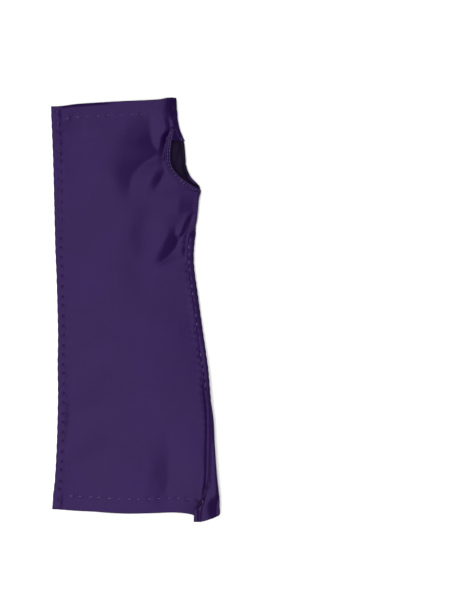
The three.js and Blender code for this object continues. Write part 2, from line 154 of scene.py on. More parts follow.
# Creases of the back panel. Each has the bends of its left and right sides (1 is straight, more
# is steeper at its line and fades further out), and rows that follow it up the glove: y, x of its
# line, reach across on the left and on the right, and rise (negative where it goes in)
CREASES = (
    # The wide valley from the hand to the thumb hole
    (1.2, 1, (
        (77, -4.8, 10, 14, 0), (86, -4.8, 11, 14, -0.7), (96, -4, 14, 15, -1.9),
        (105.4, -2.2, 18, 17, -2.8), (112.8, 3, 27, 24, -3.8), (118, 9.4, 33, 26, -4.7),
        (122.4, 16, 38, 25, -4.95), (126.8, 17.4, 38, 24, -5.0), (131.4, 14.4, 34, 24, -4.8),
        (139.4, 12.8, 28, 21, -3.6), (149.8, 12, 18, 20, -1.9), (158.5, 12, 12, 18, 0),
    )),
    # The narrow fold along the thumb hole's binding
    (1, 1, (
        (113, 22, 5, 2.4, 0), (119.5, 22.2, 5.4, 2.4, -1.2), (124.5, 23, 5.4, 2.4, -2.0),
        (129.5, 24, 5.4, 2.4, -2.75), (137.4, 25.6, 5.2, 2.4, -3.4), (142.6, 27.6, 5, 2.4, -1.8),
        (147, 29, 5, 2.4, 0),
    )),
    # The short one below it
    (1.3, 1, (
        (91.4, 15.3, 8, 13, 0), (99.4, 18.5, 8.6, 13, -1.5), (105, 20.9, 8.6, 13, -1.9),
        (111.4, 23.3, 8.6, 8, -1.7), (117, 25, 8, 5, -0.7), (121, 26, 7, 4, 0),
    )),
    # A swelling at the root of the thumb
    (1, 1.4, (
        (74, 33.6, 9, 10, 0), (77.5, 33.6, 9, 11, 0.5), (82, 34, 9, 13, 0.7),
        (87, 34.8, 9, 13, 0.5), (92.2, 36.2, 9, 12, 0),
    )),
    # A ridge and a fold beside the thumb seam
    (1, 1, (
        (57, 33, 5, 4, 0), (61, 36.2, 5, 4, 0.5), (67.4, 39.4, 5, 4, 0.8),
        (73, 42.2, 5, 3.6, 0.7), (79, 45.8, 5, 3, 0),
    )),
    (1, 1, (
        (52.6, 36, 4.6, 3.6, 0), (56.6, 37.8, 4.6, 3.6, -0.8), (61.4, 40.2, 4.6, 3.6, -1.5),
        (68, 43, 4.6, 3.6, -1.4), (72.6, 44.4, 4.6, 3.6, -0.7), (76.4, 45.2, 4.6, 3.6, 0),
    )),
    # The dark fold at the wrist
    (1.3, 1, (
        (33, 15.4, 6, 13, 0), (37, 20, 8, 16, -1.6), (40.8, 24, 10, 17, -2.8),
        (44.6, 27.8, 12.6, 17, -3.5), (48.2, 30.8, 13.6, 16, -3.6), (52.4, 33, 13, 13, -3),
        (57, 33, 9, 10, -1.8), (62, 31.6, 6, 8, -0.7), (68, 30.4, 4, 7, 0),
    )),
    # The long shallow one above the cuff
    (1.3, 1, (
        (-162.2, 20.6, 16, 18, -0.3), (-152.6, 22.1, 16, 18, -0.9), (-144.6, 24.2, 16, 18, -1.3),
        (-136.6, 25.8, 16, 18, -1.45), (-124.6, 26.3, 16, 18, -1.4), (-112.6, 26.3, 16, 18, -1.2),
        (-101.4, 26.3, 16, 18, -0.6), (-90, 26.3, 16, 18, 0),
    )),
)
CREASE_RADIUS = 1.2  # roundness of a crease's line

# Softer hollows and swellings of the back panel: x and y of the middle, half length along,
# reach across on the left and on the right, turn of the length from +X in degrees, rise and softness
HOLLOWS = (
    (26, 142.6, 6, 2.6, 2.2, 35, 0.6, 0.3), (32, 147.6, 6, 10, 2, 50, -1.6, 0.2),
    (10, 72, 28, 16, 16, 82, -1.7, 0.5), (8, 42, 30, 24, 14, 80, -2.5, 0.5),
    (-41, 149, 13, 17, 22, 90, 1.8, 0.2),
    (-34, -53, 24, 14, 14, 70, -2.2, 0.5), (-36, -98, 26, 15, 17, 46, -2.5, 0.5),
    (-38, 40, 22, 14, 14, 60, 0.9, 0.7), (-12, -20, 40, 22, 22, 60, -0.8, 0.8),
    (20, -70, 40, 20, 20, 100, 0.8, 0.8),
)

# The same for the palm panel: a buckle below the thumb hole, and the hollow where it rolls
# up past the seam at the cuff
PALM_BUCKLES = ((34.6, 121, 12, 3.2, 3.2, 76, 1.5, 0.4),)
PALM_HOLLOWS = ((65.6, -158.5, 10, 8.6, 2.5, 84, -2.4, 0.3),)

# Edge of the thumb hole, once round it: y, x, drop below the back panel, the face angle that
# turns the binding from lying on top to lying underneath, and its width
THUMB_HOLE = (
    (138.6, 36.4, 1.9, 118, 2.2), (142.2, 33.6, 1.7, 80, 2.4), (143.2, 30.8, 0.3, 40, 3.2),
    (139.6, 29.9, 0, 22, 3.8), (134.6, 29.0, 0, 14, 4.4), (128.8, 28.3, 0, 14, 4.6),
    (121, 27.9, 0, 14, 4.6), (114, 29.2, 0, 14, 4.4), (107.6, 33.6, 0, 16, 4.4),
    (102.4, 39.6, 0, 22, 4.4), (98.4, 46.0, 0, 38, 4.2), (96.2, 50.6, 0.7, 92, 3.2),
    (99.6, 49.6, 1.7, 146, 2.2), (106, 43.8, 1.8, 156, 2.2), (114, 40.4, 1.8, 158, 2.2),
    (123, 39.6, 1.8, 158, 2.2), (131, 38.8, 1.8, 152, 2.2), (136, 37.7, 1.9, 138, 2.2),
)
BACK_CUT_STOPS = (1.0, 11.2)  # rows between which the hole is cut into the back panel
PALM_CUT_STOPS = (12.2, 17.9)  # and into the palm panel
CUT_SHARE = 0.45  # share of the binding's width at which the cloth under it is cut
HOLE_TOP = 134.2  # y of the opening's top edge, where the upper seam's edge and the facing end
FACING_TOP = 144.4  # y where the facing begins, under the back panel

# Soft unevenness of laid cloth: wave length and height
WAVES = ((74, 0.2), (46, 0.1), (27, 0.05), (15, 0.02), (8.5, 0.008))


def through(rows, column):
    """A smooth curve through one column of a table, over the table's first column."""
    knots = np.array([row[0] for row in rows], float)
    values = np.array([row[column] for row in rows], float)
    slopes = np.empty_like(values)
    slopes[1:-1] = (values[2:] - values[:-2]) / (knots[2:] - knots[:-2])
    slopes[0] = (values[1] - values[0]) / (knots[1] - knots[0])
    slopes[-1] = (values[-1] - values[-2]) / (knots[-1] - knots[-2])

    def curve(at):
        place = np.clip(at, knots[0], knots[-1])
        i = np.clip(np.searchsorted(knots, place, side="right") - 1, 0, len(knots) - 2)
        span = knots[i + 1] - knots[i]
        t = (place - knots[i]) / span
        ease = t * t * (3 - 2 * t)
        bend = slopes[i] * span * t * (1 - t) ** 2 - slopes[i + 1] * span * t * t * (1 - t)
        return values[i] + (values[i + 1] - values[i]) * ease + bend

    return curve


outer_x = through(OUTER_SIDE, 1)
seam_x, seam_z, flange_tilt, palm_reach = (through(THUMB_SIDE, column) for column in (1, 2, 3, 4))
crown = through(CROWN, 1)
finger_edge = through(FINGER_EDGE, 1)
back_cuff_edge = through(BACK_CUFF_EDGE, 1)
palm_cuff_edge = through(PALM_CUFF_EDGE, 1)


def mix(a, b, share):
    """From a, where share is 0, to b, where it is 1."""
    return a + (b - a) * share


def smooth(value, low, high):
    """0 below low, 1 above high, with a soft rise between."""
    t = np.clip((value - low) / (high - low), 0, 1)
    return t * t * (3 - 2 * t)


def points(x, y, z):
    """One array of points from their coordinates."""
    return np.stack(np.broadcast_arrays(x, y, z), -1).astype(float)


def seam_side(y, side):
    """x and height where a panel ends beside the thumb seam, above it (1) or below it (-1)."""
    turn = np.radians(flange_tilt(y))
    above = SEAM_STEP if side > 0 else -SPLIT
    return seam_x(y) - above * np.sin(turn), seam_z(y) + above * np.cos(turn)


def stitch_stops(first, last, pitch, jitter, seed):
    """Places of hand stitches along a line, a little uneven."""
    random = np.random.default_rng(seed)
    count = int(round((last - first) / pitch))
    places = np.linspace(first, last, count + 1)
    return places + random.uniform(-jitter, jitter, count + 1)


OUTER_STOPS = stitch_stops(-152, 157.5, 7.7, 0.9, 1)
THUMB_STOPS = stitch_stops(-158, 61.5, 6.1, 0.7, 2)
UPPER_STOPS = stitch_stops(136, 160, 8, 0.7, 3)
BACK_CUFF_STOPS = stitch_stops(-52, 42, 7.6, 0.8, 4)
BACK_FINGER_STOPS = stitch_stops(-55, 6, 8.2, 1.3, 5)
PALM_CUFF_STOPS = stitch_stops(-50, 46, 7.6, 0.8, 6)
PALM_FINGER_STOPS = stitch_stops(-55, 20, 8.2, 1.3, 7)


def from_stitch(along, stops):
    """Distance along a line to the nearest stitch."""
    after = np.clip(np.searchsorted(stops, along), 1, len(stops) - 1)
    return np.minimum(np.abs(along - stops[after - 1]), np.abs(stops[after] - along))


def pucker(along, stops, distance, depth, reach):
    """Cloth drawn down at each stitch and puffed between them, fading with distance."""
    phase = np.interp(along, stops, np.arange(len(stops)))
    inside_row = (along > stops[0] - 3) & (along < stops[-1] + 3)
    wave = np.where(inside_row, -np.cos(2 * np.pi * phase), 0)
    return depth * wave * np.exp(-((distance / reach) ** 2))


def dent(along, stops, distance, depth, reach=0.9):
    """The small hollow that each stitch presses into the cloth."""
    return -depth * np.exp(-((from_stitch(along, stops) / 1.5) ** 2) - (distance / reach) ** 2)


def undulation(x, y, seed):
    """Soft waves that run in all directions."""
    random = np.random.default_rng(seed)
    total = np.zeros(np.broadcast(x, y).shape)
    for length, height in WAVES:
        for _ in range(3):
            turn, phase = random.uniform(0, 2 * np.pi, 2)
            reach = length * random.uniform(0.8, 1.25)
            along = x * np.cos(turn) + y * np.sin(turn)
            total += height / 1.7 * np.sin(2 * np.pi / reach * along + phase)
    return total


def tent(side):
    """1 where side is 1, falling in a straight line and running out softly at 0."""
    return (side + np.hypot(side, 0.15)) / 2


def crease_rise(x, y, creases):
    """Creases with flat sides, each of which follows its own line up the glove."""
    total = np.zeros(np.broadcast(x, y).shape)
    for left_bend, right_bend, rows in creases:
        line, left, right, rise = (through(rows, column)(y) for column in (1, 2, 3, 4))
        across = x - line
        side = tent(1 - np.hypot(across, CREASE_RADIUS) / np.where(across < 0, left, right))
        total += rise * side ** np.where(across < 0, left_bend, right_bend)
    return total


def hollow_rise(x, y, hollows):
    """Soft hollows and swellings, which narrow and run out at both ends."""
    total = np.zeros(np.broadcast(x, y).shape)
    for hollow_x, hollow_y, half_length, left, right, turn, rise, softness in hollows:
        cos, sin = math.cos(math.radians(turn)), math.sin(math.radians(turn))
        along = np.abs((x - hollow_x) * cos + (y - hollow_y) * sin) / half_length
        across = (x - hollow_x) * sin - (y - hollow_y) * cos
        fade = 1 - smooth(along, 0.2, 1.3)
        reach = np.where(across < 0, left, right) * mix(FOLD_TAPER, 1, fade)
        total += rise * tent(1 - np.hypot(across / reach, softness)) * fade
    return total


def hem_relief(share, x, y, low_edge, high_edge, low_stops, high_stops):
    """A turned-in hem is a little thicker, and its stitches draw it down."""
    total = np.zeros(np.broadcast(x, y).shape)
    for edge, depth, stops, side in (
        (low_edge(share), CUFF_HEM_DEPTH, low_stops, 1),
        (high_edge(share), FINGER_HEM_DEPTH, high_stops, -1),
    ):
        inward = (y - edge) * side
        line = depth - HEM_STITCH_INSET
        total += HEM_PAD * (1 - smooth(inward, line - 0.4, line + 1.0))
        total += pucker(x, stops, inward - line, HEM_PUCKER, HEM_PUCKER_REACH)
        total += dent(x - 1.1, stops, inward - line, HEM_DENT)
    return total


def back_at(share, y):
    """The back panel's middle surface at a share across it and a place along the glove."""
    start_x, start_z = outer_x(y), OUTER_SEAM_HEIGHT + SEAM_STEP
    end_x, end_z = seam_side(y, 1)
    x = mix(start_x, end_x, share)
    from_outer, from_thumb = x - start_x, end_x - x
    near = np.minimum(from_outer, from_thumb)
    side = np.where(share < 0.5, start_z, end_z)
    inward = 1 - 2 * np.minimum(share, 1 - share)
    power = mix(ARCH_POWER, UPPER_ARCH_POWER, smooth(y, 134, 152) * (share > 0.5))
    z = mix(side, crown(y), 1 - inward**power)
    folds = crease_rise(x, y, CREASES) + hollow_rise(x, y, HOLLOWS) + undulation(x, y, 11)
    z = z + folds * smooth(near, 0, FOLD_FADE)
    return x, z, from_outer, from_thumb


def back_surface(share, y):
    """The back panel with what its stitches and its hems do to it."""
    x, z, from_outer, from_thumb = back_at(share, y)
    gathered = (1 - smooth(y, 66, 74)) * smooth(y, -124, -98)  # from the thumb hole to the twist
    z = z + pucker(y, OUTER_STOPS, from_outer - PUCKER_INSET, OUTER_PUCKER, PUCKER_REACH)
    z = z + pucker(y, THUMB_STOPS, from_thumb - PUCKER_INSET, THUMB_PUCKER, PUCKER_REACH) * gathered
    outer_depth = mix(0.14, 0.35, smooth(y, 50, 90))  # deeper beside the hand
    z = z + dent(y + 1.4, OUTER_STOPS, from_outer - 0.4, outer_depth)
    drawn = smooth(-y, 4, 30)  # towards the cuff the dents are deeper, wider and closer to the seam
    place, depth, reach = mix(0.7, 0.2, drawn), mix(0.3, 0.5, drawn), mix(0.9, 1.3, drawn)
    uneven = mix(0.3, 1, gathered) * (0.65 + 0.35 * np.sin(1.3 * y))
    z = z + uneven * dent(y + 1.2, THUMB_STOPS, from_thumb - place, depth, reach)
    rolled = smooth(-y, 50, 84) * (1 - smooth(-y, 140, 152))  # along the twist
    z = z - ROLL_OFF * rolled * np.exp(-((from_thumb / ROLL_OFF_REACH) ** 2))
    relief = hem_relief(share, x, y, back_cuff_edge, finger_edge, BACK_CUFF_STOPS, BACK_FINGER_STOPS)
    z = z + relief * smooth(np.minimum(from_outer, from_thumb), 0.5, 3)
    dip = FINGER_DROP * smooth(from_outer, 0, 4) * mix(1, 0.15, smooth(share, 0.4, 0.52))
    z = z - dip * smooth(y - finger_edge(share), -2.6, -0.5)
    return points(x, y, z)


def palm_finger_edge(share):
    """The palm panel's finger end, which shows a little past the back panel's."""
    lead = np.sin(np.pi * np.clip(share / PALM_SIDE_SHARE, 0, 1))
    return finger_edge(share) + PALM_FINGER_LEAD * lead


def palm_surface(share, y):
    """The palm panel: up at the outer seam, flat below, and round the thumb side to the seam."""
    start = outer_x(y)
    end_x, end_z = seam_side(y, -1)
    reach = end_x + palm_reach(y)
    flat_end = reach - PALM_SIDE_LENGTH
    left = np.clip(1 - share / PALM_RISE_SHARE, 0, 1)
    rise = (OUTER_SEAM_HEIGHT - SPLIT - PALM_FLOOR) * left * left
    flat = np.clip((share - PALM_RISE_SHARE) / (PALM_SIDE_SHARE - PALM_RISE_SHARE), 0, 1)
    t = np.clip((share - PALM_SIDE_SHARE) / (1 - PALM_SIDE_SHARE), 0, 1)
    bulge = (8 * reach - flat_end - end_x) / 6  # takes the middle of the turn out to the reach
    nose = NOSE * smooth(-y, 40, 100)
    bends = flat_end, bulge - nose, bulge + nose, end_x
    weights = (1 - t) ** 3, 3 * t * (1 - t) ** 2, 3 * t * t * (1 - t), t**3
    side_x = sum(weight * bend for weight, bend in zip(weights, bends))
    level = mix(1, PALM_LEVEL, smooth(-y, 94, 112))
    late = np.clip(t / level, 0, 1) ** mix(1, LATE_RISE, smooth(y, 96, 106))
    side_z = mix(PALM_FLOOR, end_z, late * late * (3 - 2 * late))
    x = np.where(
        share < PALM_RISE_SHARE,
        start + (1 - left) * PALM_RISE_LENGTH,
        np.where(share < PALM_SIDE_SHARE, mix(start + PALM_RISE_LENGTH, flat_end, flat), side_x),
    )
    z = np.where(share < PALM_SIDE_SHARE, PALM_FLOOR + rise, side_z)
    loose = smooth(x - start, 2, 12) * (1 - smooth(t, 0.05, 0.4))
    z = z + np.clip(undulation(x, y, 12) + 0.25, 0, None) * PALM_WAVE_SHARE * loose
    z = z - pucker(y, OUTER_STOPS, x - start - PUCKER_INSET, PALM_PUCKER, PALM_PUCKER_REACH)
    z = z - dent(y, OUTER_STOPS, x - start - 0.3, PALM_DENT)
    z = z + hollow_rise(x, y, PALM_BUCKLES) * (1 - smooth(t, 0.85, 1))
    z = z + hollow_rise(x, y, PALM_HOLLOWS) * smooth(t, 0.55, 0.75) * (1 - smooth(t, 0.93, 1))
    hems = hem_relief(share, x, y, palm_cuff_edge, palm_finger_edge, PALM_CUFF_STOPS, PALM_FINGER_STOPS)
    z = z - np.clip(hems, -1, 0) * smooth(np.minimum(x - start, end_x - x), 0.5, 3) * (t <= 0)
    return points(x, y, z)


def normals(surface, share, y):
    """Normals on the side where +X turned to +Y points up."""
    step = 0.0015
    low, high = np.clip(share - step, 0, 1), np.clip(share + step, 0, 1)
    sideways = surface(high, y) - surface(low, y)
    lengthways = surface(share, y + 0.2) - surface(share, y - 0.2)
    normal = np.cross(sideways, lengthways)
    return normal / np.linalg.norm(normal, axis=-1, keepdims=True)


def sheet_grid(shares, row_count, low_edge, high_edge):
    """Shares and places of a panel's grid, with how far in and along its hems' points lie."""
    share = shares[None, :]
    sideways = np.minimum(shares, 1 - shares)[None, :]
    radius = HEM_RADIUS * (0.08 + 0.92 * smooth(sideways, 0.004, 0.05))  # pressed flat at the seams
    low, high = low_edge(share) + radius, high_edge(share) - radius
    fold = np.linspace(0, np.pi, 7)[1:]
    rows = []
    for depth in np.linspace(CUFF_HEM_DEPTH, 1.2, 8):
        rows.append((low + depth, 2 * radius, 0 * low))
    for angle in fold[::-1]:
        rows.append((low, radius * (1 - np.cos(angle)), -radius * np.sin(angle)))
    first_main = len(rows)
    for along in np.linspace(0, 1, row_count):
        rows.append((mix(low, high, along), 0 * low, 0 * low))
    last_main = len(rows)
    for angle in fold:
        rows.append((high, radius * (1 - np.cos(angle)), radius * np.sin(angle)))
    for depth in np.linspace(1.2, FINGER_HEM_DEPTH, 8):
        rows.append((high - depth, 2 * radius, 0 * low))
    y = np.concatenate([row[0] for row in rows])
    inset = np.concatenate([row[1] for row in rows])
    push = np.concatenate([row[2] for row in rows])
    share = np.broadcast_to(share, y.shape)
    return share, y, inset, push, first_main, last_main


def placed(surface, share, y, inset, push, outward):
    """Grid points on a panel, with those of its hems moved in under it."""
    place = surface(share, y)
    normal = normals(surface, share, y) * outward
    place = place - normal * inset[..., None]
    place[..., 1] += push
    return place


def grid_faces(rows, columns, outward):
    """Faces of a grid, which look up (1) or down (-1)."""
    index = np.arange(rows * columns).reshape(rows, columns)
    faces = np.stack([index[:-1, :-1], index[:-1, 1:], index[1:, 1:], index[1:, :-1]], -1)
    faces = faces.reshape(-1, 4)
    return faces if outward > 0 else faces[:, ::-1]


def inside(x, y, outline):
    """Whether points lie inside a closed outline in plan."""
    result = np.zeros(np.shape(x), bool)
    for (ax, ay), (bx, by) in zip(outline, np.roll(outline, -1, 0)):
        if ay == by:
            continue
        crosses = (ay > y) != (by > y)
        result ^= crosses & (x < ax + (y - ay) * (bx - ax) / (by - ay))
    return result


def nearest(x, y, line):
    """The nearest points on an open line in plan."""
    best = np.full(x.shape, np.inf)
    near = np.stack([x, y], -1).astype(float)
    for (ax, ay), (bx, by) in zip(line[:-1], line[1:]):
        dx, dy = bx - ax, by - ay
        t = np.clip(((x - ax) * dx + (y - ay) * dy) / (dx * dx + dy * dy), 0, 1)
        px, py = ax + t * dx, ay + t * dy
        distance = (x - px) ** 2 + (y - py) ** 2
        closer = distance < best
        best = np.where(closer, distance, best)
        near = np.where(closer[..., None], np.stack([px, py], -1), near)
    return near


def share_at(surface, x, y, low, high):
    """The share across a panel that has a given x, found by halving."""
    low, high = np.full(x.shape, float(low)), np.full(x.shape, float(high))
    for _ in range(26):
        middle = (low + high) / 2
        short = surface(middle, y)[..., 0] < x
        low, high = np.where(short, middle, low), np.where(short, high, middle)
    return (low + high) / 2


def linear(colour):
    """An sRGB hex colour as the linear values that Blender's nodes take."""
    parts = [int(colour[i : i + 2], 16) / 255 for i in (1, 3, 5)]
    return [c / 12.92 if c <= 0.04045 else ((c + 0.055) / 1.055) ** 2.4 for c in parts] + [1]


def add(tree, kind, inputs=None, **settings):
    """Adds a node, with its own settings and with values or other nodes' outputs for its inputs."""
    made = tree.nodes.new(kind)
    for name, value in settings.items():
        setattr(made, name, value)
    for name, value in (inputs or {}).items():
        if isinstance(value, bpy.types.NodeSocket):
            tree.links.new(value, made.inputs[name])
        else:
            made.inputs[name].default_value = value
    return made


def material(name):
    """A new material and its empty node tree."""
    made = bpy.data.materials.new(name)
    made.use_nodes = True
    made.node_tree.nodes.clear()
    return made, made.node_tree


def finish_material(tree, shader):
    """Joins the shader to the material's output."""
    add(tree, "ShaderNodeOutputMaterial", {"Surface": shader.outputs["BSDF"]})


# Yarns of the satin: the real ones are about 0.1 mm apart, too fine to show, so they are drawn wider
WARP_WIDTH = 0.0009
WARP_LENGTH = 0.016
PATCH_SIZE = 0.042  # soft patches, a little lighter or duller, where the cloth has been handled
GLOSS_SPREAD = 0.03
PLY_TWIST = 0.0016  # the thread's plies, drawn wider than the real 0.3 mm


def satin(name, light, dark, roughness, specular, tint):
    """Duchesse satin, woven with long floating yarns: a soft, broad gloss with faint lengthwise lines."""
    made, tree = material(name)
    place = add(tree, "ShaderNodeTexCoord").outputs["Object"]
    lengthwise = add(
        tree, "ShaderNodeMapping",
        {"Vector": place, "Scale": (1 / WARP_WIDTH, 1 / WARP_LENGTH, 1 / WARP_WIDTH)},
    ).outputs["Vector"]
    yarns = add(
        tree, "ShaderNodeTexNoise",
        {"Vector": lengthwise, "Scale": 1.0, "Detail": 2.0, "Roughness": 0.6},
    ).outputs["Fac"]
    patches = add(
        tree, "ShaderNodeTexNoise",
        {"Vector": place, "Scale": 1 / PATCH_SIZE, "Detail": 3.0, "Roughness": 0.5},
    ).outputs["Fac"]
    tone = add(
        tree, "ShaderNodeMath", {0: yarns, 1: 0.35, 2: 0.0}, operation="MULTIPLY_ADD",
    ).outputs["Value"]
    tone = add(
        tree, "ShaderNodeMath", {0: patches, 1: 0.65, 2: tone}, operation="MULTIPLY_ADD",
    ).outputs["Value"]
    ramp = add(tree, "ShaderNodeValToRGB", {"Fac": tone})
    ramp.color_ramp.elements[0].position = 0.36
    ramp.color_ramp.elements[0].color = linear(dark)
    ramp.color_ramp.elements[1].position = 0.64
    ramp.color_ramp.elements[1].color = linear(light)
    gloss = add(
        tree, "ShaderNodeMapRange",
        {
            "Value": patches, "From Min": 0.3, "From Max": 0.7,
            "To Min": roughness - GLOSS_SPREAD, "To Max": roughness + GLOSS_SPREAD,
        },
    ).outputs["Result"]
    relief = add(
        tree, "ShaderNodeBump", {"Height": yarns, "Strength": 0.25, "Distance": 0.00008},
    ).outputs["Normal"]
    shader = add(
        tree, "ShaderNodeBsdfPrincipled",
        {"Base Color": ramp.outputs["Color"], "Roughness": gloss, "Normal": relief},
    )
    shader.inputs["IOR"].default_value = 1.5
    shader.inputs["Specular IOR Level"].default_value = specular
    shader.inputs["Specular Tint"].default_value = linear(tint)
    finish_material(tree, shader)
    return made


def sewing_thread():
    """Two-ply polyester sewing thread, a little glossy: a lighter violet with a fine slanting twist."""
    made, tree = material("sewing_thread")
    place = add(tree, "ShaderNodeTexCoord").outputs["Object"]
    plies = add(
        tree, "ShaderNodeTexWave",
        {"Vector": place, "Scale": 1 / PLY_TWIST, "Distortion": 1.5, "Detail": 1.0},
        bands_direction="DIAGONAL",
    ).outputs["Fac"]
    ramp = add(tree, "ShaderNodeValToRGB", {"Fac": plies})
    ramp.color_ramp.elements[0].color = linear("#3e325a")
    ramp.color_ramp.elements[1].color = linear("#5c4e76")
    relief = add(
        tree, "ShaderNodeBump", {"Height": plies, "Strength": 0.4, "Distance": 0.00006},
    ).outputs["Normal"]
    shader = add(
        tree, "ShaderNodeBsdfPrincipled",
        {"Base Color": ramp.outputs["Color"], "Roughness": 0.42, "Normal": relief},
    )
    finish_material(tree, shader)
    return made


def paper_sweep():
    """Matt white paper from a roll, with a fine tooth that takes the shine off it."""
    made, tree = material("paper_sweep")
    grain = add(tree, "ShaderNodeTexNoise", {"Scale": 900.0, "Detail": 2.0}).outputs["Fac"]
    relief = add(
        tree, "ShaderNodeBump", {"Height": grain, "Strength": 0.02, "Distance": 0.0001},
    ).outputs["Normal"]
    shader = add(
        tree, "ShaderNodeBsdfPrincipled",
        {"Base Color": linear("#f3f2f2"), "Roughness": 0.9, "Normal": relief},
    )
    finish_material(tree, shader)
    return made


# The dyed filaments tint the gloss, so it is low and violet. The wrong side shows fewer floating
# yarns and is duller, and its near-black colour is painted shade for the dark inside of the glove
right_side = satin(
    "duchesse_satin", light="#180731", dark="#130527", roughness=0.31, specular=0.2, tint="#c5a2ff",
)
shaded_wrong_side = satin(
    "satin_wrong_side", light="#110a1a", dark="#0b0712", roughness=0.6, specular=0.1, tint="#cba6ff",
)
thread = sewing_thread()


def add_piece(name, place, faces, materials, replaced=()):
    """A piece of the glove from points in millimetres and faces."""
    mesh = bpy.data.meshes.new(name)
    mesh.from_pydata((place * MM).tolist(), [], faces.tolist() if hasattr(faces, "tolist") else faces)
    for finish in materials:
        mesh.materials.append(finish)
    mesh.polygons.foreach_set("use_smooth", np.ones(len(mesh.polygons), bool))
    mesh.update()
    piece = bpy.data.objects.new(name, mesh)
    bpy.context.scene.collection.objects.link(piece)
    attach(piece, "root")
    if replaced:
        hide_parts(*replaced)
    return piece


def thicken(piece):
    """Gives a cloth grid its thickness, with the duller wrong side inside, its dark colour painted shade.
    """
    cloth = piece.modifiers.new("cloth", "SOLIDIFY")
    cloth.thickness = CLOTH * MM
    cloth.offset = 0
    cloth.material_offset = 1
    cloth.use_even_offset = False


def ring_curve(count):
    """Even stops round the thumb hole's edge, with the way that its binding lies at each."""
    rows = np.array(THUMB_HOLE, float)
    y, x, drop = rows[:, 0], rows[:, 1], rows[:, 2]
    start_x = outer_x(y)
    share = np.clip((x - start_x) / (seam_side(y, 1)[0] - start_x), 0, 1)
    z = np.where(drop > 0, SEAM_TOP - drop, back_at(share, y)[1])
    knots = points(x, y, z)
    place = np.linspace(0, len(rows), count, endpoint=False)
    i = place.astype(int)
    t = (place - i)[:, None]
    a, b, c, d = (knots[(i + k) % len(rows)] for k in (-1, 0, 1, 2))
    # A smooth curve through the table's rows, and its direction
    square, cube = 2 * a - 5 * b + 4 * c - d, 3 * b - a - 3 * c + d
    edge = 0.5 * (2 * b + (c - a) * t + square * t**2 + cube * t**3)
    tangent = 0.5 * ((c - a) + 2 * square * t + 3 * cube * t**2)
    tangent /= np.linalg.norm(tangent, axis=1, keepdims=True)
    after = (i + 1) % len(rows)
    face = np.radians(mix(rows[i, 3], rows[after, 3], t[:, 0]))
    width = mix(rows[i, 4], rows[after, 4], t[:, 0])
    up = points(np.sin(face), 0, np.cos(face))
    away = np.cross(tangent, up)
    away /= np.linalg.norm(away, axis=1, keepdims=True)
    up = np.cross(away, tangent)
    up /= np.linalg.norm(up, axis=1, keepdims=True)
    return {"edge": edge, "away": away, "up": up, "width": width, "stop": place}


RING_COUNT = 340
ring = ring_curve(RING_COUNT)
PAST_GLOVE = 60  # from the hole's line out past the glove's thumb side
CUT_REACH = 2.2  # the cut's corners move by no more than this


def hole_line(first, last):
    """Where a panel is cut, under the binding, between two stops of the ring."""
    chosen = (ring["stop"] >= first) & (ring["stop"] <= last)
    line = ring["edge"] + ring["away"] * (ring["width"] * CUT_SHARE)[:, None]
    return line[chosen][:, :2]


def cut_hole(surface, share, y, faces, first_main, last_main, line, low_share):
    """Removes the faces in the hole and moves the cut's corners onto the line."""
    ends = [(line[-1, 0] + PAST_GLOVE, line[-1, 1]), (line[0, 0] + PAST_GLOVE, line[0, 1])]
    outline = np.concatenate([line, ends])
    place = surface(share, y)
    x_flat, y_flat = place[..., 0].ravel(), place[..., 1].ravel()
    rows = np.arange(share.shape[0])[:, None] + np.zeros(share.shape, int)
    main = ((rows >= first_main) & (rows < last_main)).ravel()
    cx, cy = x_flat[faces].mean(1), y_flat[faces].mean(1)
    allowed = (share.ravel()[faces].min(1) >= low_share) & main[faces].all(1)
    gone = inside(cx, cy, outline) & allowed
    kept = faces[~gone]
    edge = np.intersect1d(np.unique(faces[gone]), np.unique(kept))
    near = nearest(x_flat[edge], y_flat[edge], line)
    close = np.hypot(near[:, 0] - x_flat[edge], near[:, 1] - y_flat[edge]) < CUT_REACH
    edge, near = edge[close], near[close]
    new_share, new_y = share.copy().ravel(), y.copy().ravel()
    new_share[edge] = share_at(surface, near[:, 0], near[:, 1], low_share, 1)
    new_y[edge] = near[:, 1]
    return new_share.reshape(share.shape), new_y.reshape(y.shape), kept


def without_loose(place, faces):
    """The same mesh without points that no face uses."""
    used, numbers = np.unique(faces, return_inverse=True)
    return place[used], numbers.reshape(faces.shape)


def crowded(count, strength):
    """Shares from 0 to 1 that lie closer together at both ends."""
    t = np.linspace(0, 1, count)
    even = t - strength * np.sin(2 * np.pi * t) / (2 * np.pi)
    return np.concatenate([[0, 0.002], even[1:-1], [0.998, 1]])


def panel(name, surface, shares, row_count, edges, outward, cut, replaced):
    """A panel of cloth with its hems turned in, its long edges tucked in and the thumb hole cut."""
    share, y, inset, push, first, last = sheet_grid(shares, row_count, *edges)
    faces = grid_faces(*share.shape, outward)
    line, low_share = cut
    share, y, faces = cut_hole(surface, share, y, faces, first, last, line, low_share)
    place = placed(surface, share, y, inset, push, outward)
    turn = np.radians(flange_tilt(y[:, -1]))
    tuck = TUCK if outward > 0 else TUCK * (1 - smooth(palm_reach(y[:, -1]), -2, 3))
    drop = TUCK_DROP * outward
    place[:, 0] += points(-TUCK, 0, -drop)
    place[:, -1] += points(tuck * np.cos(turn), 0, tuck * np.sin(turn) - drop)
    place, faces = without_loose(place.reshape(-1, 3), faces)
    piece = add_piece(name, place, faces, [right_side, shaded_wrong_side], replaced)
    thicken(piece)
    return piece


